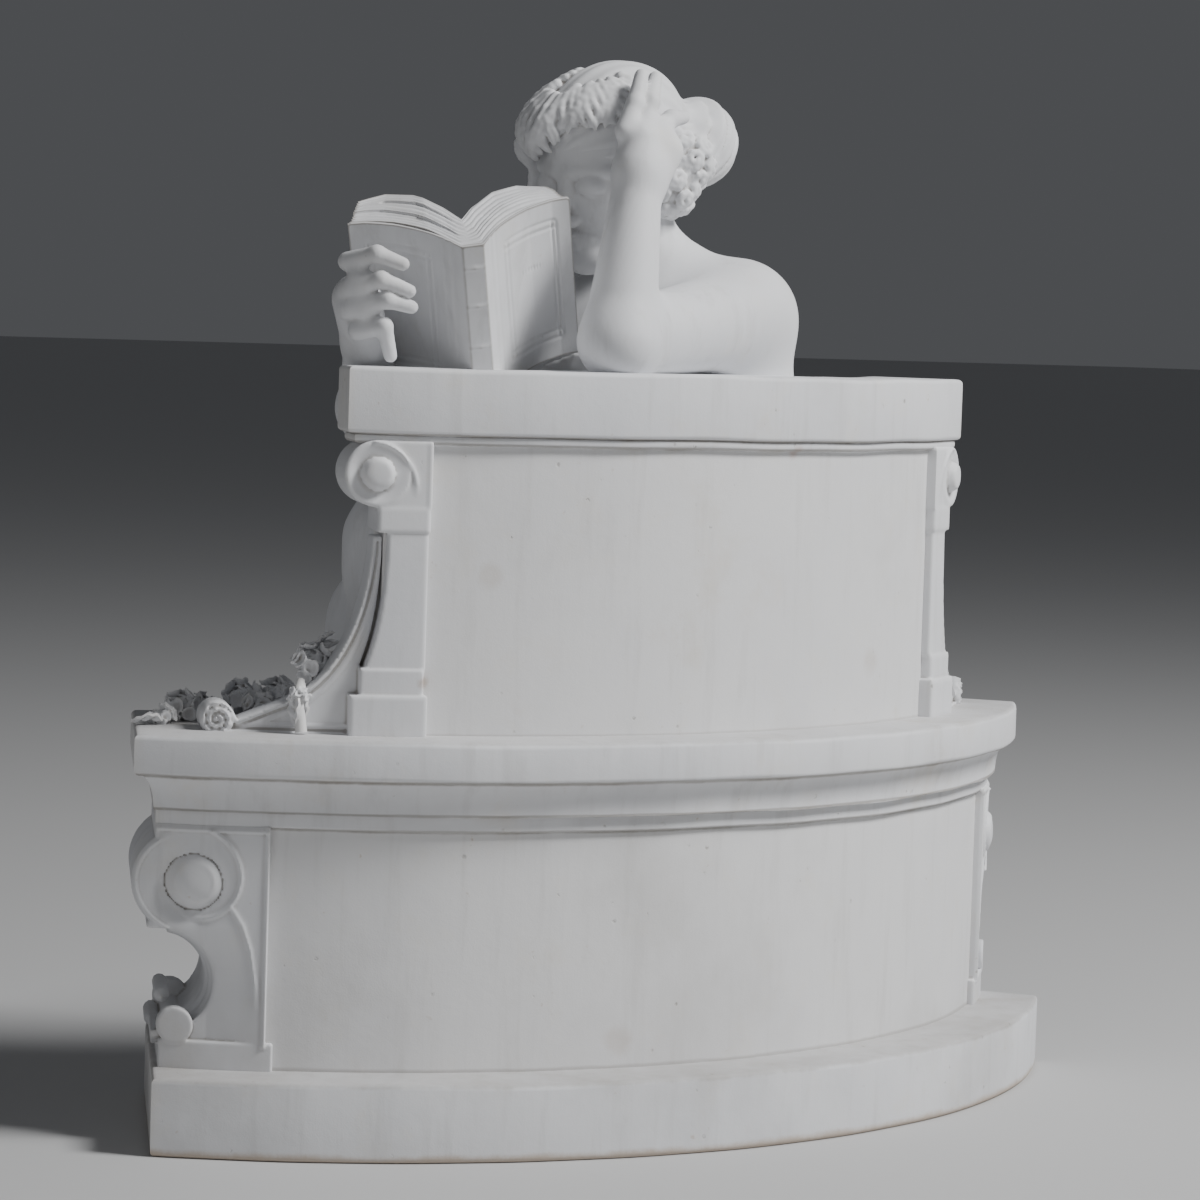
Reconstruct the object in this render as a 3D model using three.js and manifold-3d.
// Bisque porcelain group: a young woman sits reading on a curved stone bench and leans over its back.
// Millimetres, +Z up. The bench's convex back faces +Y, its open seat faces -Y.
import * as THREE from "three";
import { mergeVertices } from "three/addons/utils/BufferGeometryUtils.js";
import Module from "manifold-3d";

const wasm = await Module();
wasm.setup();

// Plan of the bench
const wallRadius = 308.6; // the lower wall's convex back
const endLean = THREE.MathUtils.degToRad(31); // how far each end of the seat turns in towards the front
const backLean = THREE.MathUtils.degToRad(28.5); // the same at the ends of the backrest
const baseEnd = 250.4; // from the middle of the bench square out to the end plane of the base
const baseProud = 30.3; // the base stands out from the lower wall by this at the back
const baseFront = 200; // the base's straight front edge, from the apex of the wall
const seatFront = 140; // the seat's front edge in the middle, from the apex of the wall
const seatHollow = 47; // how much further forward the seat reaches at its ends
const apronSetback = 11; // the wall under the seat stands back from the seat's front edge

// Heights of the bench
const baseHeight = 32;
const wallHeight = 99.6;
const filletHeight = 7;
const coveHeight = 14;
const seatThickness = 17;
const backHeight = 120.5;
const beadHeight = 3.5;
const copingHeight = 27.5;
const edgeRounding = 1.6;

// How far each moulding stands out from the lower wall, at the back and at the ends
const filletProud = 2.6;
const coveProud = 12;
const seatProud = 15;
const seatOverhang = 9.5; // the seat slab's end, past the base's end plane
const filletSetback = 1.4; // the fillet's end, inside the base's end plane
const backSetback = 13; // the backrest's outer face, inside the lower wall
const copingSetback = 8;
const beadSetback = 10.3;
const copingThickness = 41;
const backThickness = 33;
const copingEnd = 177.6; // like baseEnd, for the coping

// Scrolled console at each end of the lower wall
const consoleProud = 3;
const consoleVolute = 23; // radius
const consoleEye = 11; // radius
const consoleEyeProud = 3.5;
const consolePanel = 30.6; // from the volute's centre to the edge of the raised panel
const consoleHollow = 22; // radius of the C-shaped hollow under the volute
const consoleInset = 7; // the volute's outer rim stands this far out past the base's end plane
const consoleFoot = 7.5; // radius of the little scroll on the foot block
const footBlockHeight = 11.5;
const footBlockWidth = 46.5;

// Pilaster, capital and wing at each end of the backrest, measured along the arc
const pilasterSetback = 11;
const pilasterInner = 148.5;
const capitalVolute = 13.7; // radius
const capitalEye = 7; // radius
const capitalHeight = 27;
const neckHeight = 9.8;
const shaftTopWidth = 18;
const shaftFootWidth = 26.5;
const plinthWidth = 32;
const upperPlinthHeight = 9;
const lowerPlinthHeight = 17;
const wingSetback = 15;
const wingThickness = 17;
const wingReach = 78; // from the shaft to the far scroll
const wingHeight = 82;
const wingRoseReach = 32; // from the shaft to the rose that lies on the wing

// Figure: its places and sizes are thousandths of the stature she would have standing
const stature = 547;
const headCell = 6.4;
const armCell = 8.6;
const handCell = 5.1;
const bodyCell = 13.5;

// Book
const bookHeight = 72;
const coverWidth = 56;
const spineWidth = 9;
const openAngle = THREE.MathUtils.degToRad(41); // how far each cover swings back from the spine's plane
const coverThickness = 2.2;
const pageBlock = 23; // how far the fanned pages stand away from the covers
const pageInset = 1.5;

// Roses
const roseRadius = 10.5;

// Faces along the seams between joined forms
const shortestEdge = 1.1;
const thinnestFace = 0.12;

// Heights worked out from those above
const baseTop = baseHeight;
const wallTop = baseTop + wallHeight;
const filletTop = wallTop + filletHeight;
const coveTop = filletTop + coveHeight;
const seatTop = coveTop + seatThickness;
const backTop = seatTop + backHeight;
const beadTop = backTop + beadHeight;
const copingTop = beadTop + copingHeight;
const middleDepth = (baseProud - baseFront) / 2; // the middle of the base, seen from the wall's apex

// A closed solid for joining and cutting, from any closed three.js geometry
function solid(geometry) {
  const bare = new THREE.BufferGeometry();
  bare.setAttribute("position", geometry.getAttribute("position"));
  if (geometry.index) bare.setIndex(geometry.index);
  const merged = mergeVertices(bare, 1e-4);
  const triVerts = new Uint32Array(merged.index.array);
  const vertProperties = new Float32Array(merged.attributes.position.array);
  return new wasm.Manifold(new wasm.Mesh({ numProp: 3, vertProperties, triVerts }));
}

function geometryOf(points, faces) {
  const geometry = new THREE.BufferGeometry();
  const flat = points.flatMap((p) => [p.x, p.y, p.z]);
  geometry.setAttribute("position", new THREE.Float32BufferAttribute(flat, 3));
  geometry.setIndex(faces);
  return geometry;
}

// Turns every face over, for a solid that a mirroring change of place left inside out
function turnedOver(geometry) {
  if (!geometry.index) geometry.setIndex([...Array(geometry.attributes.position.count).keys()]);
  const order = geometry.index.array;
  for (let i = 0; i < order.length; i += 3) [order[i], order[i + 1]] = [order[i + 1], order[i]];
  return geometry;
}

// The same piece at the other end of the bench
function mirrored(geometry) {
  return turnedOver(geometry.clone().scale(-1, 1, 1));
}

// A closed solid from rings of equal length, one above the other
function loft(rings) {
  const count = rings[0].length;
  const faces = [];
  for (let level = 0; level + 1 < rings.length; level++) {
    for (let i = 0; i < count; i++) {
      const a = level * count + i;
      const b = level * count + ((i + 1) % count);
      faces.push(a, b, b + count, a, b + count, a + count);
    }
  }
  const cap = (ring) => THREE.ShapeUtils.triangulateShape(ring.map((p) => new THREE.Vector2(p.x, p.y)), []);
  for (const [a, b, c] of cap(rings[0])) faces.push(c, b, a);
  const last = (rings.length - 1) * count;
  for (const [a, b, c] of cap(rings.at(-1))) faces.push(last + a, last + b, last + c);
  return geometryOf(rings.flat(), faces);
}

// Where an arc of the given radius about the bench's centre meets an end plane, as an angle from the middle
function endAngle(radius, end, lean) {
  return lean + Math.asin((end - wallRadius * Math.sin(lean)) / radius);
}

function onArc(radius, angle, z) {
  return new THREE.Vector3(radius * Math.sin(angle), radius * Math.cos(angle) - wallRadius, z);
}

// One level of the bench: a convex arc at the back, leaning ends and a hollow front edge
function benchRing({ z, proud, end, front, hollow, steps = 20 }) {
  const radius = wallRadius + proud;
  const widest = endAngle(radius, end, endLean);
  const ring = [];
  for (let i = 0; i <= steps; i++) ring.push(onArc(radius, widest * (1 - (2 * i) / steps), z));
  const cornerY = -front - hollow;
  const cornerX = (end + Math.sin(endLean) * cornerY) / Math.cos(endLean);
  const half = steps / 2;
  for (let i = 0; i <= half; i++) {
    const across = -1 + (2 * i) / half;
    ring.push(new THREE.Vector3(across * cornerX, -front - hollow * across * across, z));
  }
  return ring;
}

// One level of the backrest: both long sides are arcs about the same centre
function backRing({ z, setback, thickness, end, steps = 16 }) {
  const outer = wallRadius - setback;
  const inner = outer - thickness;
  const ring = [];
  const outerEnd = endAngle(outer, end, backLean);
  const innerEnd = endAngle(inner, end, backLean);
  for (let i = 0; i <= steps; i++) ring.push(onArc(outer, outerEnd * (1 - (2 * i) / steps), z));
  for (let i = 0; i <= steps; i++) ring.push(onArc(inner, innerEnd * ((2 * i) / steps - 1), z));
  return ring;
}

function seatAndBase() {
  const base = { proud: baseProud, end: baseEnd, front: baseFront, hollow: 0 };
  const wallEnd = baseEnd - footBlockWidth * 0.8;
  const wall = { proud: 0, end: wallEnd, front: seatFront - apronSetback, hollow: seatHollow };
  const seatEnd = baseEnd + seatOverhang;
  const fillet = { ...wall, proud: filletProud, end: baseEnd - filletSetback, front: wall.front + 2 };
  const cove = { ...wall, proud: coveProud, end: seatEnd - 4, front: seatFront - 3 };
  const seat = { ...wall, proud: seatProud, end: seatEnd, front: seatFront };
  const rounded = (level) => ({
    ...level,
    proud: level.proud - edgeRounding,
    end: level.end - edgeRounding,
    front: level.front - edgeRounding,
  });
  const hollowCove = { ...cove, proud: coveProud * 0.6, end: seatEnd - 6, front: seatFront - 6 };
  const levels = [
    { ...base, z: 0 },
    { ...base, z: baseTop - edgeRounding },
    { ...rounded(base), z: baseTop },
    { ...wall, z: baseTop },
    { ...wall, z: wallTop - 2 },
    { ...fillet, z: wallTop },
    { ...fillet, z: filletTop },
    { ...hollowCove, z: filletTop + 1 },
    { ...hollowCove, proud: coveProud * 0.7, z: filletTop + coveHeight * 0.55 },
    { ...cove, z: coveTop - 1 },
    { ...rounded(seat), z: coveTop - 0.5 },
    { ...seat, z: coveTop + edgeRounding },
    { ...seat, z: seatTop - edgeRounding },
    { ...rounded(seat), z: seatTop },
  ];
  return solid(loft(levels.map(benchRing)));
}

function backrest() {
  const wall = { setback: backSetback, thickness: backThickness, end: copingEnd - 16 };
  const bead = { setback: beadSetback, thickness: backThickness + 5, end: copingEnd - 3 };
  const coping = { setback: copingSetback, thickness: copingThickness, end: copingEnd };
  const rounded = {
    setback: copingSetback + edgeRounding,
    thickness: copingThickness - 2 * edgeRounding,
    end: copingEnd - edgeRounding,
  };
  const levels = [
    { ...wall, z: coveTop },
    { ...wall, z: backTop - 1 },
    { ...bead, z: backTop },
    { ...bead, z: beadTop - 0.5 },
    { ...rounded, z: beadTop },
    { ...coping, z: beadTop + edgeRounding },
    { ...coping, z: copingTop - edgeRounding },
    { ...rounded, z: copingTop },
  ];
  return solid(loft(levels.map(backRing)));
}

// The end wall of the lower bench: an S-scroll cut through the bench's whole depth, trimmed to the plan
function consoles() {
  const centre = new THREE.Vector2(baseEnd + consoleInset - consoleVolute, wallTop - consoleVolute);
  const footTop = baseTop + footBlockHeight;
  const blockEnd = baseEnd - 3.1;
  const innerEdge = centre.x - consolePanel;
  const hollow = new THREE.Vector2(centre.x + 12, centre.y - 41.5);
  const outline = new THREE.Shape();
  outline.moveTo(innerEdge, footTop - 1);
  outline.lineTo(innerEdge, wallTop + 1);
  outline.lineTo(centre.x, wallTop + 1);
  outline.absarc(centre.x, centre.y, consoleVolute, Math.PI / 2, -Math.PI * 0.22, true);
  outline.lineTo(hollow.x + 5, hollow.y + consoleHollow + 2);
  outline.absarc(hollow.x, hollow.y, consoleHollow, Math.PI * 0.5, Math.PI * 1.28, false);
  outline.absarc(blockEnd - consoleFoot + 1, footTop + 6, consoleFoot, Math.PI * 0.75, -Math.PI * 0.25, true);
  outline.lineTo(blockEnd - 2, footTop - 1);
  outline.closePath();
  const block = new THREE.Shape();
  block.moveTo(blockEnd - footBlockWidth, baseTop - 1);
  block.lineTo(blockEnd, baseTop - 1);
  block.lineTo(blockEnd, footTop);
  block.lineTo(blockEnd - footBlockWidth, footTop);
  block.closePath();
  const depth = baseFront + baseProud + 60;
  const through = (shape) => {
    const prism = new THREE.ExtrudeGeometry(shape, { depth, bevelEnabled: false, curveSegments: 5 });
    prism.rotateX(Math.PI / 2); // drawn x stays across the end, drawn y becomes height
    prism.translate(0, depth / 2, 0);
    prism.rotateZ(-endLean);
    return prism;
  };
  const front = seatFront - apronSetback + 4;
  const plan = { proud: consoleProud, end: baseEnd + 20, front, hollow: seatHollow };
  const limits = [{ ...plan, z: baseTop - 2 }, { ...plan, z: wallTop + 2 }];
  const trim = solid(loft(limits.map(benchRing)));
  const eyePlan = { ...plan, proud: consoleProud + consoleEyeProud, front: front + consoleEyeProud };
  const eyeLimits = [{ ...eyePlan, z: baseTop - 2 }, { ...eyePlan, z: wallTop + 2 }];
  const eyeTrim = solid(loft(eyeLimits.map(benchRing)));
  const eye = new THREE.Shape();
  eye.absarc(centre.x + 1, centre.y + 1, consoleEye, 0, Math.PI * 2, false);
  const one = (shape, limit, turn) => limit.intersect(solid(turn(through(shape))));
  const same = (geometry) => geometry;
  return [same, mirrored].flatMap((turn) => [
    one(outline, trim, turn),
    one(block, trim, turn),
    one(eye, eyeTrim, turn),
  ]);
}

// A flat outline drawn in arc length and height, bent round the backrest's face and run in along its end
function bent(shape, setback, thickness) {
  const prism = new THREE.ExtrudeGeometry(shape, { depth: thickness, bevelEnabled: false, curveSegments: 5 });
  const places = prism.attributes.position;
  for (let i = 0; i < places.count; i++) {
    const p = onArc(wallRadius - setback, places.getX(i) / wallRadius, places.getY(i));
    const inward = thickness - places.getZ(i);
    places.setXYZ(i, p.x - Math.sin(backLean) * inward, p.y - Math.cos(backLean) * inward, p.z);
  }
  return turnedOver(prism);
}

function rectangle(left, right, bottom, top) {
  const shape = new THREE.Shape();
  shape.moveTo(left, bottom);
  shape.lineTo(right, bottom);
  shape.lineTo(right, top);
  shape.lineTo(left, top);
  shape.closePath();
  return shape;
}

function disc(x, y, radius) {
  const shape = new THREE.Shape();
  shape.absarc(x, y, radius, 0, Math.PI * 2, false);
  return shape;
}

// Capital, shaft, plinths and the scrolled wing that runs down to the seat
function pilasters() {
  const full = backThickness + 2;
  const capitalBottom = backTop - capitalHeight;
  const neckBottom = capitalBottom - neckHeight;
  const plinthTop = seatTop + lowerPlinthHeight;
  const footTop = plinthTop + upperPlinthHeight + 2;
  const voluteX = pilasterInner + 22.6;
  const voluteZ = backTop - capitalVolute + 1;
  const shaftRight = pilasterInner + shaftTopWidth;
  const shaft = new THREE.Shape();
  shaft.moveTo(pilasterInner + 1, footTop - 1);
  shaft.lineTo(pilasterInner + shaftFootWidth, footTop - 1);
  shaft.bezierCurveTo(shaftRight + 3, footTop + 14, shaftRight, footTop + 28, shaftRight, neckBottom + 1);
  shaft.lineTo(pilasterInner, neckBottom + 1);
  shaft.closePath();
  const wingTop = seatTop + wingHeight;
  const wingEnd = shaftRight + wingReach;
  const wing = new THREE.Shape();
  wing.moveTo(shaftRight - 6, seatTop - 1);
  wing.lineTo(shaftRight - 3, wingTop);
  wing.lineTo(shaftRight + 5.5, wingTop);
  wing.bezierCurveTo(shaftRight + 7, wingTop - 34, shaftRight + 20, seatTop + 19, shaftRight + 45, seatTop + 11);
  wing.lineTo(wingEnd - 15, seatTop + 5.5);
  wing.absarc(wingEnd - 7.5, seatTop + 5, 7.5, Math.PI * 0.85, -Math.PI * 0.25, true);
  wing.lineTo(wingEnd - 2, seatTop - 1);
  wing.closePath();
  const pieces = [
    bent(rectangle(pilasterInner, voluteX, capitalBottom, backTop + 1), pilasterSetback - 1, full),
    bent(disc(voluteX, voluteZ, capitalVolute), pilasterSetback - 2, full),
    bent(disc(voluteX - 2, voluteZ, capitalEye), pilasterSetback - 5, full),
    bent(rectangle(pilasterInner, voluteX, neckBottom, capitalBottom + 1), pilasterSetback - 1, full),
    bent(shaft, pilasterSetback, full),
    bent(rectangle(pilasterInner + 1.8, pilasterInner + 27.8, plinthTop - 1, footTop), pilasterSetback - 1, full),
    bent(rectangle(pilasterInner, pilasterInner + plinthWidth, seatTop - 1, plinthTop), pilasterSetback - 2, full),
    bent(wing, wingSetback, wingThickness),
  ];
  return pieces.flatMap((piece) => [solid(piece), solid(mirrored(piece))]);
}

// Signed distances to round forms, blended softly into one body and skinned with a mesh
const unit = stature / 1000;

// A place on the figure, in thousandths of her stature, from the coping's top or the seat's top
const byCoping = (x, y, z) => new THREE.Vector3(x * unit, y * unit, copingTop + z * unit);
const bySeat = (x, y, z) => new THREE.Vector3(x * unit, y * unit, seatTop + z * unit);

function limb(from, to, startRadius, endRadius) {
  const along = to.clone().sub(from);
  const lengthSquared = along.lengthSq();
  const start = startRadius * unit;
  const growth = (endRadius - startRadius) * unit;
  const reach = new THREE.Vector3();
  return (p) => {
    reach.subVectors(p, from);
    const share = THREE.MathUtils.clamp(reach.dot(along) / lengthSquared, 0, 1);
    return reach.addScaledVector(along, -share).length() - start - growth * share;
  };
}

const ball = (centre, radius) => limb(centre, centre.clone().add(new THREE.Vector3(0, 0, 1e-3)), radius, radius);

// An ellipsoid whose radii lie along the axes of a frame
function egg(centre, frame, across, deep, tall) {
  const inverse = frame.clone().invert();
  const radii = new THREE.Vector3(across, deep, tall).multiplyScalar(unit);
  const q = new THREE.Vector3();
  return (p) => {
    q.subVectors(p, centre).applyQuaternion(inverse).divide(radii);
    const scaled = q.length();
    const slope = q.divide(radii).length();
    return slope > 0 ? (scaled * (scaled - 1)) / slope : -radii.z;
  };
}

// A frame that faces a way in plan (degrees from +X towards +Y), nods down and leans to one side
function facing(turn, nod = 0, lean = 0) {
  const angles = [lean, nod, turn].map(THREE.MathUtils.degToRad);
  return new THREE.Quaternion().setFromEuler(new THREE.Euler(angles[0], angles[1], angles[2], "ZYX"));
}

function softUnion(softness, ...forms) {
  const k = softness * unit;
  return (p) => {
    let nearest = forms[0](p);
    for (let i = 1; i < forms.length; i++) {
      const next = forms[i](p);
      const h = Math.max(k - Math.abs(nearest - next), 0) / k;
      nearest = Math.min(nearest, next) - (h * h * k) / 4;
    }
    return nearest;
  };
}

function softCut(softness, form, ...tools) {
  const k = softness * unit;
  return (p) => {
    let depth = form(p);
    for (const tool of tools) {
      const next = -tool(p);
      const h = Math.max(k - Math.abs(depth - next), 0) / k;
      depth = Math.max(depth, next) + (h * h * k) / 4;
    }
    return depth;
  };
}

// Raised waves along a direction, such as folds of cloth or locks of hair
function waved(form, direction, wavelength, height) {
  const step = (2 * Math.PI) / (wavelength * unit);
  return (p) => form(p) - height * unit * Math.sin(p.dot(direction) * step);
}

const cubeCorners = [0, 1, 2, 3, 4, 5, 6, 7].map((n) => [n & 1, (n >> 1) & 1, n >> 2]);

// For each of the 256 patterns of corners inside the form: does one plain sheet part them from the rest?
const onePlainSheet = Array.from({ length: 256 }, (_, pattern) => {
  const groups = (wanted) => {
    const left = new Set([...cubeCorners.keys()].filter((n) => ((pattern >> n) & 1) === wanted));
    let count = 0;
    while (left.size) {
      const reached = [[...left][0]];
      left.delete(reached[0]);
      while (reached.length) {
        const n = reached.pop();
        for (const bit of [1, 2, 4]) if (left.delete(n ^ bit)) reached.push(n ^ bit);
      }
      count++;
    }
    return count;
  };
  return groups(0) < 2 && groups(1) < 2;
});

// Fills notches narrower than a cell, so that no cell holds two sheets of the surface
function settle(values, nx, ny, nz) {
  const offsets = cubeCorners.map(([a, b, c]) => (c * ny + b) * nx + a);
  let changed = true;
  while (changed) {
    changed = false;
    for (let k = 0; k + 1 < nz; k++) {
      for (let j = 0; j + 1 < ny; j++) {
        for (let i = 0; i + 1 < nx; i++) {
          const base = (k * ny + j) * nx + i;
          const pattern = offsets.reduce((sum, offset, n) => sum + (values[base + offset] < 0 ? 1 << n : 0), 0);
          if (onePlainSheet[pattern]) continue;
          const outside = offsets.map((offset) => base + offset).filter((place) => values[place] >= 0);
          const nearest = outside.reduce((best, place) => (values[place] < values[best] ? place : best));
          values[nearest] = -1e-3;
          changed = true;
        }
      }
    }
  }
}

// Meshes the zero surface of a field: one vertex in each crossed cell, drawn onto the surface.
// The box grows until the whole form is inside it.
function skin(field, low, high, cell) {
  const size = high.clone().sub(low).divideScalar(cell).ceil();
  const [nx, ny, nz] = [size.x + 1, size.y + 1, size.z + 1];
  const at = (i, j, k) => new THREE.Vector3(i, j, k).multiplyScalar(cell).add(low);
  const index = (i, j, k) => (k * ny + j) * nx + i;
  const values = new Float32Array(nx * ny * nz);
  for (let k = 0; k < nz; k++) {
    for (let j = 0; j < ny; j++) {
      for (let i = 0; i < nx; i++) values[index(i, j, k)] = field(at(i, j, k));
    }
  }
  settle(values, nx, ny, nz);
  const atBorder = (n, count) => n < 1 || n > count - 2;
  const touches = values.some((value, place) => {
    const [i, j, k] = [place % nx, Math.floor(place / nx) % ny, Math.floor(place / (nx * ny))];
    return value < 0 && (atBorder(i, nx) || atBorder(j, ny) || atBorder(k, nz));
  });
  if (touches) return skin(field, low.clone().subScalar(3 * cell), high.clone().addScalar(3 * cell), cell);
  const vertexOf = new Map();
  const points = [];
  for (let k = 0; k + 1 < nz; k++) {
    for (let j = 0; j + 1 < ny; j++) {
      for (let i = 0; i + 1 < nx; i++) {
        const at8 = cubeCorners.map(([a, b, c]) => values[index(i + a, j + b, k + c)]);
        const inside = at8.filter((v) => v < 0).length;
        if (inside === 0 || inside === 8) continue;
        const middle = new THREE.Vector3();
        let crossings = 0;
        for (let n = 0; n < 8; n++) {
          for (const bit of [1, 2, 4]) {
            const m = n | bit;
            if (n & bit || at8[n] < 0 === at8[m] < 0) continue;
            const share = at8[n] / (at8[n] - at8[m]);
            const [a, b, c] = cubeCorners[n];
            const [d, e, f] = cubeCorners[m];
            middle.add(new THREE.Vector3(a + (d - a) * share, b + (e - b) * share, c + (f - c) * share));
            crossings++;
          }
        }
        middle.divideScalar(crossings).add(new THREE.Vector3(i, j, k)).multiplyScalar(cell).add(low);
        vertexOf.set(index(i, j, k), points.length);
        points.push(drawnOnto(field, middle, cell));
      }
    }
  }
  const faces = [];
  const quad = (a, b, c, d) => {
    if (points[a].distanceTo(points[c]) < points[b].distanceTo(points[d])) faces.push(a, b, c, a, c, d);
    else faces.push(a, b, d, b, c, d);
  };
  for (let k = 1; k + 1 < nz; k++) {
    for (let j = 1; j + 1 < ny; j++) {
      for (let i = 1; i + 1 < nx; i++) {
        const here = values[index(i, j, k)] < 0;
        const v = (a, b, c) => vertexOf.get(index(i + a, j + b, k + c));
        const around = [
          [index(i + 1, j, k), () => [v(0, -1, -1), v(0, 0, -1), v(0, 0, 0), v(0, -1, 0)]],
          [index(i, j + 1, k), () => [v(-1, 0, -1), v(-1, 0, 0), v(0, 0, 0), v(0, 0, -1)]],
          [index(i, j, k + 1), () => [v(-1, -1, 0), v(0, -1, 0), v(0, 0, 0), v(-1, 0, 0)]],
        ];
        for (const [next, loop] of around) {
          if (values[next] < 0 === here) continue;
          const ring = loop();
          quad(...(here ? ring : ring.reverse()));
        }
      }
    }
  }
  return geometryOf(points, faces);
}

// Moves a point a little along the field's slope, onto the surface
function drawnOnto(field, start, cell) {
  const p = start.clone();
  const step = cell * 0.02;
  for (let round = 0; round < 3; round++) {
    const value = field(p);
    const slope = new THREE.Vector3(
      field(p.clone().setX(p.x + step)) - value,
      field(p.clone().setY(p.y + step)) - value,
      field(p.clone().setZ(p.z + step)) - value,
    ).divideScalar(step);
    p.addScaledVector(slope, -value / Math.max(slope.lengthSq(), 0.25));
    p.sub(start).clampLength(0, cell * 0.45).add(start);
  }
  return p;
}

// The figure's joints
const headCentre = byCoping(40, -156, 166);
const headFrame = facing(12, 22, -4);
const neckFoot = byCoping(-14, -163, 74);
const leftShoulder = byCoping(-62, -101, 45);
const leftElbow = byCoping(95, -60, 24);
const leftWrist = byCoping(66, -79, 155);
const rightShoulder = byCoping(56, -226, 31);
const rightElbow = byCoping(190, -250, -34);
const rightWrist = byCoping(250, -176, 16);
const chest = byCoping(-6, -168, -8);
const waist = bySeat(-32, -176, 172);
const pelvis = bySeat(-50, -180, 72);
const leftKnee = bySeat(186, -206, 138);
const leftAnkle = bySeat(196, -212, 14);
const rightKnee = bySeat(130, -298, 66);
const rightAnkle = bySeat(134, -304, -222);

// A place in the head's own frame: forward, to her left, up
const onHead = (forward, left, above) =>
  new THREE.Vector3(forward, left, above).multiplyScalar(unit).applyQuaternion(headFrame).add(headCentre);

function head() {
  const neck = limb(neckFoot, onHead(-16, 0, -30), 36, 30);
  const skull = egg(onHead(-8, 0, 14), headFrame, 60, 50, 58);
  const cheeks = egg(onHead(18, 0, -22), headFrame, 40, 38, 52);
  const chin = ball(onHead(44, 0, -64), 12);
  const nose = limb(onHead(54, 0, 2), onHead(64, 0, -16), 5, 8);
  const sockets = [-1, 1].map((side) => ball(onHead(66, side * 21, 4), 13));
  const face = softCut(10, softUnion(22, cheeks, chin), ...sockets);
  const lids = [-1, 1].map((side) => ball(onHead(46, side * 20, 2), 10));
  const lips = limb(onHead(54, -9, -40), onHead(54, 9, -40), 5, 5);
  const ear = egg(onHead(-8, 47, -8), headFrame, 12, 6, 18);
  const bare = softUnion(9, softUnion(20, skull, neck), face, nose, lips, ear, ...lids);
  const crown = egg(onHead(-16, 0, 20), headFrame, 66, 54, 54);
  const fringe = waved(egg(onHead(14, 0, 30), headFrame, 52, 55, 20), new THREE.Vector3(0.6, 0.8, 0), 26, 3);
  const bun = waved(egg(byCoping(-42, -141, 184), headFrame, 34, 31, 36), new THREE.Vector3(0, 0.3, 1), 40, 2);
  const nape = waved(egg(byCoping(-8, -134, 148), headFrame, 29, 29, 31), new THREE.Vector3(0.7, 0, 0.7), 24, 3);
  const lock = limb(onHead(22, -50, 10), onHead(8, -48, -40), 15, 11);
  return softUnion(8, bare, softUnion(12, crown, fringe, bun, nape, lock));
}

// Bent back at the wrist, its fingers pushed into the hair
function leftHand() {
  const fingers = [0, 1, 2].map((n) => {
    const knuckle = byCoping(66 - n * 13, -84 - n * 2, 196);
    return limb(knuckle, byCoping(52 - n * 13, -98 - n * 2, 228), 8, 6);
  });
  const thumb = limb(byCoping(44, -90, 160), byCoping(12, -92, 176), 10, 7);
  return softUnion(10, limb(leftWrist, byCoping(54, -84, 190), 19, 18), thumb, ...fingers);
}

// Closed round the fore-edge of the book
function rightHand() {
  const grip = [0, 1, 2].map((n) => {
    const knuckle = byCoping(284, -150, 72 - n * 20);
    return softUnion(4, limb(knuckle, byCoping(276, -122, 76 - n * 20), 9, 8), limb(
      byCoping(276, -122, 76 - n * 20), byCoping(252, -112, 68 - n * 20), 8, 7));
  });
  return softUnion(7, limb(rightWrist, byCoping(272, -158, 50), 18, 18), ...grip);
}

function arms() {
  const left = softUnion(14, limb(leftShoulder, leftElbow, 41, 29), limb(leftElbow, leftWrist, 29, 18));
  const right = softUnion(12, limb(rightShoulder, rightElbow, 36, 27), limb(rightElbow, rightWrist, 27, 17));
  const trapezius = limb(byCoping(-22, -146, 79), byCoping(-56, -112, 60), 26, 24);
  const yoke = softUnion(30, limb(leftShoulder, rightShoulder, 34, 32), limb(neckFoot, chest, 36, 44), trapezius);
  return softUnion(22, left, right, yoke);
}

function torso() {
  const chestFrame = facing(46, 12, 0);
  const hipFrame = facing(26, 0, 0);
  const ribs = egg(chest, chestFrame, 60, 84, 92);
  const back = egg(byCoping(-80, -117, -22), chestFrame, 46, 40, 84);
  const belly = egg(waist, facing(38, 4, 0), 54, 68, 80);
  const seat = egg(pelvis, hipFrame, 84, 100, 76);
  return softUnion(40, ribs, back, belly, seat);
}

function skirt() {
  const lap = softUnion(
    40,
    limb(bySeat(-40, -150, 66), leftKnee, 68, 42),
    limb(leftKnee, leftAnkle, 42, 48),
    limb(bySeat(-40, -216, 62), rightKnee, 66, 46),
    limb(rightKnee, rightAnkle, 44, 40),
    egg(bySeat(60, -236, 36), facing(0), 110, 74, 44),
  );
  const folded = waved(lap, new THREE.Vector3(0.94, 0.34, 0), 44, 5);
  const toe = limb(bySeat(142, -316, -238), bySeat(160, -336, -240), 14, 10);
  return softUnion(10, folded, toe);
}

function figure() {
  const corner = (p, x, y, z) => p.clone().add(new THREE.Vector3(x, y, z).multiplyScalar(unit));
  const parts = [
    skin(head(), corner(headCentre, -170, -110, -160), corner(headCentre, 110, 110, 100), headCell),
    skin(arms(), byCoping(-150, -320, -120), byCoping(340, 0, 270), armCell),
    skin(leftHand(), byCoping(-20, -150, 110), byCoping(110, -40, 260), handCell),
    skin(rightHand(), byCoping(200, -220, -30), byCoping(320, -70, 110), handCell),
    skin(softUnion(30, torso(), skirt()), bySeat(-190, -430, -320), byCoping(340, 10, 140), bodyCell),
  ];
  return parts.map(solid);
}

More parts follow.
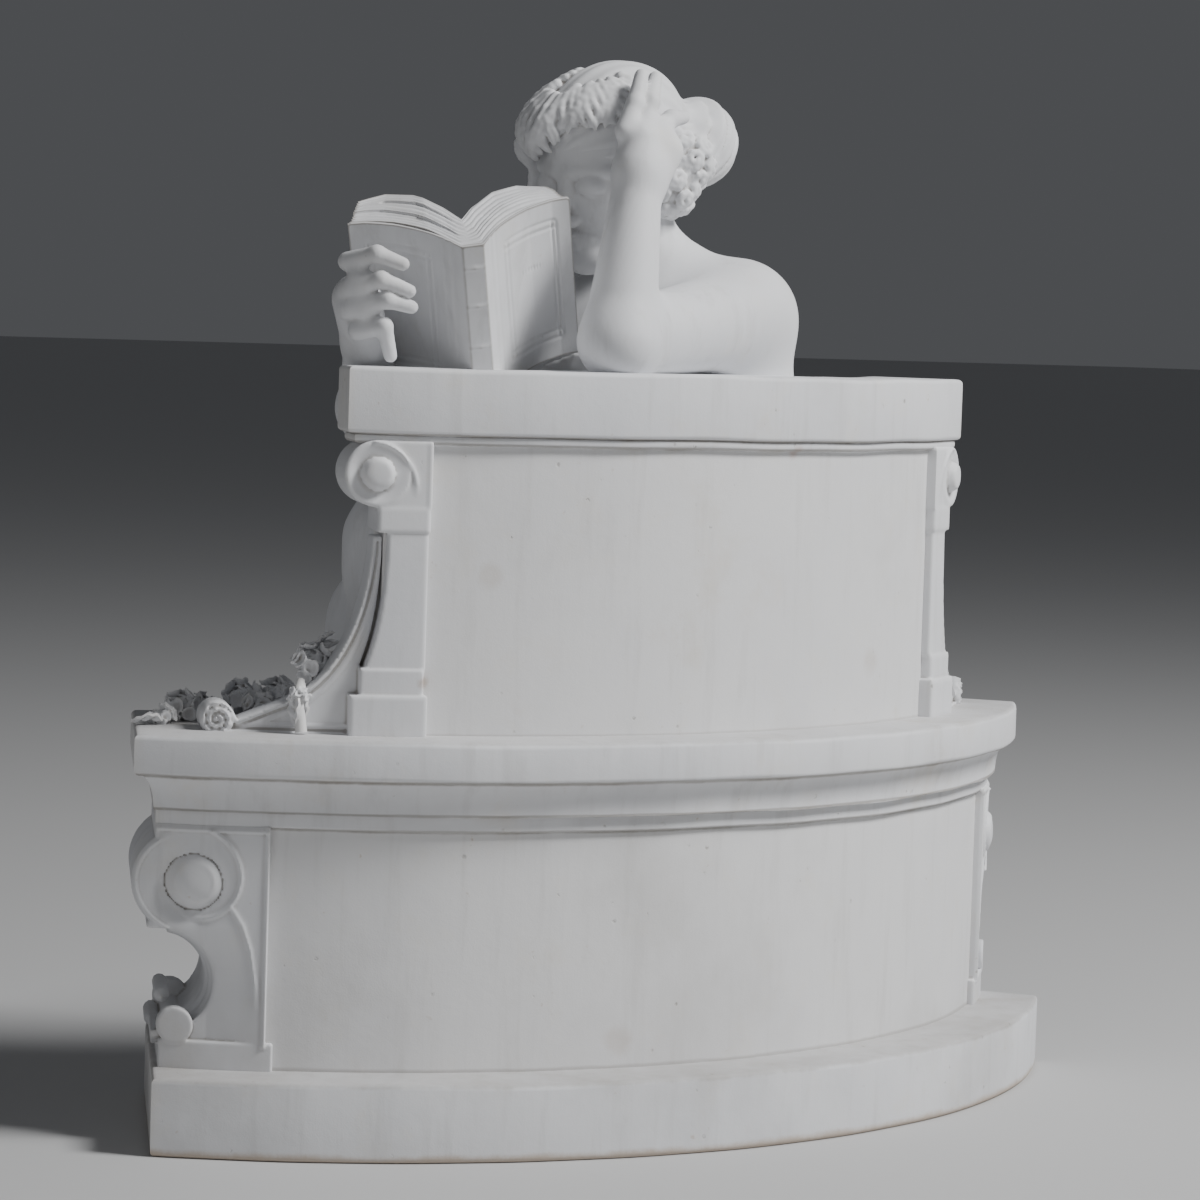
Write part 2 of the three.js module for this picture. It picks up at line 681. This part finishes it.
// An open book leaning towards its reader's back: covers outside, fanned pages within
function book() {
  const up = new THREE.Vector3(0.332, 0.287, 0.899).normalize();
  const across = new THREE.Vector3(0.857, -0.489, -0.161);
  across.addScaledVector(up, -across.dot(up)).normalize();
  const out = new THREE.Vector3().crossVectors(up, across);
  const spineTop = byCoping(223, -78, 92);
  const frame = new THREE.Matrix4().makeBasis(across, out, up);
  frame.setPosition(spineTop.clone().addScaledVector(up, -bookHeight));
  const half = spineWidth / 2;
  const spread = coverWidth * Math.cos(openAngle);
  const sweep = coverWidth * Math.sin(openAngle);
  const reach = (side, share, back) => new THREE.Vector2(side * (half + spread * share), -back);
  const coverLine = (side) => [
    new THREE.Vector2(side * half, 0),
    reach(side, 0.25, sweep * 0.46),
    reach(side, 0.55, sweep * 0.84),
    reach(side, 0.8, sweep * 0.99),
    reach(side, 1, sweep),
  ];
  const outer = [...coverLine(-1).reverse(), ...coverLine(1)];
  const leaf = [
    reach(1, 0.94, sweep + pageBlock * 0.8),
    reach(1, 0.7, sweep + pageBlock),
    reach(1, 0.42, sweep * 0.86 + pageBlock),
    reach(1, 0.15, sweep * 0.5 + pageBlock),
    new THREE.Vector2(0, -sweep * 0.2 - pageBlock),
  ];
  const otherLeaf = leaf.slice(0, -1).reverse().map((p) => new THREE.Vector2(-p.x, p.y));
  const shrunk = outer.map((p) => new THREE.Vector2(p.x, p.y - coverThickness));
  const block = new THREE.Shape([...shrunk, ...leaf, ...otherLeaf]);
  const boards = new THREE.Shape([...outer, ...shrunk.map((p) => p.clone().setY(p.y - 0.4)).reverse()]);
  const rise = (shape, bottom, height) => {
    const prism = new THREE.ExtrudeGeometry(shape, { depth: height, bevelEnabled: false });
    prism.translate(0, 0, bottom);
    return solid(prism.applyMatrix4(frame));
  };
  return [rise(boards, 0, bookHeight), rise(block, pageInset, bookHeight - 2 * pageInset)];
}

// A full-blown rose: a round head whose petals stand out in overlapping rings
function rose(centre, radius) {
  const head = new THREE.SphereGeometry(radius, 10, 6);
  const places = head.attributes.position;
  const p = new THREE.Vector3();
  for (let i = 0; i < places.count; i++) {
    p.fromBufferAttribute(places, i);
    const turn = Math.atan2(p.y, p.x);
    const ringOffset = Math.round((p.z / radius) * 2) % 2 ? Math.PI / 5 : 0;
    const flare = 1 + 0.16 * Math.cos(5 * (turn + ringOffset)) * (1 - Math.abs(p.z / radius));
    p.multiply(new THREE.Vector3(flare, flare, 0.82)).add(centre);
    places.setXYZ(i, p.x, p.y, p.z);
  }
  return solid(head);
}

// Roses strewn on the seat's end, one on the wing, and a bud that hangs from it
function roses() {
  const strewn = [
    [0.2, 22],
    [0.5, 28],
    [0.8, 24],
    [0.35, 52],
    [0.68, 50],
  ];
  const flowers = strewn.map(([share, inward]) => {
    const end = new THREE.Vector2(Math.cos(endLean), -Math.sin(endLean)).multiplyScalar(baseEnd - inward);
    const back = new THREE.Vector2(Math.sin(endLean), Math.cos(endLean));
    end.addScaledVector(back, -12 - share * 48);
    return rose(new THREE.Vector3(end.x, end.y, seatTop + roseRadius * 0.3), roseRadius);
  });
  const wingFace = wallRadius - wingSetback - wingThickness + 3;
  const wingPlace = (pilasterInner + shaftTopWidth + wingRoseReach) / wallRadius;
  const onWing = rose(onArc(wingFace, wingPlace, seatTop + wingHeight / 3), roseRadius * 1.1);
  return [...flowers, onWing];
}

function solidUnion(solids) {
  return solids.reduce((whole, next) => whole.add(next));
}

// A joined body as points and faces, each face known to its corners
function bodyOf(whole) {
  const { vertProperties, triVerts, numProp } = whole.getMesh();
  const points = [];
  for (let i = 0; i < vertProperties.length; i += numProp) {
    points.push(new THREE.Vector3(...vertProperties.slice(i, i + 3)));
  }
  const faces = [];
  const facesOf = points.map(() => new Set());
  for (let i = 0; i < triVerts.length; i += 3) {
    const face = [...triVerts.slice(i, i + 3)];
    for (const corner of face) facesOf[corner].add(faces.length);
    faces.push(face);
  }
  return { points, faces, facesOf };
}

function normalOf(body, face) {
  const [a, b, c] = face.map((corner) => body.points[corner]);
  return b.clone().sub(a).cross(c.clone().sub(a));
}

const neighboursOf = (body, corner) =>
  new Set([...body.facesOf[corner]].flatMap((f) => body.faces[f]).filter((other) => other !== corner));

// Closes the edge between two corners where the body stays closed and no face turns over
function closeEdge(body, gone, kept) {
  const around = neighboursOf(body, kept);
  const shared = [...neighboursOf(body, gone)].filter((corner) => around.has(corner));
  if (shared.length !== 2) return false;
  const moving = [...body.facesOf[gone]].filter((f) => !body.faces[f].includes(kept));
  for (const f of moving) {
    const before = normalOf(body, body.faces[f]);
    const after = normalOf(body, body.faces[f].map((corner) => (corner === gone ? kept : corner)));
    if (before.length() > 1e-3 && before.dot(after) <= 0.2 * before.length() * after.length()) return false;
  }
  for (const f of body.facesOf[gone]) {
    if (moving.includes(f)) continue;
    for (const corner of body.faces[f]) if (corner !== gone) body.facesOf[corner].delete(f);
    body.faces[f] = null;
  }
  for (const f of moving) {
    body.faces[f] = body.faces[f].map((corner) => (corner === gone ? kept : corner));
    body.facesOf[kept].add(f);
  }
  body.facesOf[gone].clear();
  return true;
}

function heightOf(body, face) {
  const sides = face.map((corner, i) => body.points[corner].distanceTo(body.points[face[(i + 1) % 3]]));
  return normalOf(body, face).length() / Math.max(...sides);
}

// Turns the longest edge of a needle-thin face, together with its neighbour
function turnEdge(body, f) {
  const face = body.faces[f];
  const sides = face.map((corner, i) => body.points[corner].distanceTo(body.points[face[(i + 1) % 3]]));
  const start = sides.indexOf(Math.max(...sides));
  const [a, b, c] = [0, 1, 2].map((step) => face[(start + step) % 3]);
  const g = [...body.facesOf[a]].find((other) => other !== f && body.faces[other].includes(b));
  if (g === undefined) return false;
  const d = body.faces[g].find((corner) => corner !== a && corner !== b);
  if (neighboursOf(body, c).has(d)) return false;
  const first = [a, d, c];
  const second = [d, b, c];
  const neighbourNormal = normalOf(body, body.faces[g]);
  const better = Math.min(heightOf(body, first), heightOf(body, second)) > heightOf(body, face) * 1.5;
  const sameWay = [first, second].every((next) => normalOf(body, next).dot(neighbourNormal) > 0);
  if (!better || !sameWay) return false;
  body.faces[f] = first;
  body.faces[g] = second;
  body.facesOf[b].delete(f);
  body.facesOf[a].delete(g);
  body.facesOf[d].add(f);
  body.facesOf[c].add(g);
  return true;
}

// Joining leaves slivers along the seams: this closes short edges and turns thin faces until none is left
function tidied(whole, shortest, thinnest) {
  const body = bodyOf(whole);
  for (let round = 0; round < 12; round++) {
    let changes = 0;
    for (let f = 0; f < body.faces.length; f++) {
      for (let i = 0; i < 3 && body.faces[f]; i++) {
        const [a, b] = [body.faces[f][i], body.faces[f][(i + 1) % 3]];
        if (body.points[a].distanceTo(body.points[b]) > shortest) continue;
        if (closeEdge(body, a, b) || closeEdge(body, b, a)) changes++;
      }
      if (body.faces[f] && heightOf(body, body.faces[f]) < thinnest && turnEdge(body, f)) changes++;
    }
    if (!changes) break;
  }
  const geometry = geometryOf(body.points, body.faces.filter((face) => face).flat());
  geometry.computeVertexNormals();
  return geometry;
}

const statue = solidUnion([
  seatAndBase(),
  backrest(),
  ...consoles(),
  ...pilasters(),
  ...figure(),
  ...book(),
  ...roses(),
]);

const bisque = new THREE.MeshStandardMaterial({ color: 0xe6e7ea, roughness: 0.62, metalness: 0 });
const mesh = new THREE.Mesh(tidied(statue, shortestEdge, thinnestFace), bisque);
mesh.name = "statue";
mesh.position.y = -middleDepth;

const group = new THREE.Group();
group.add(mesh);

export default group;
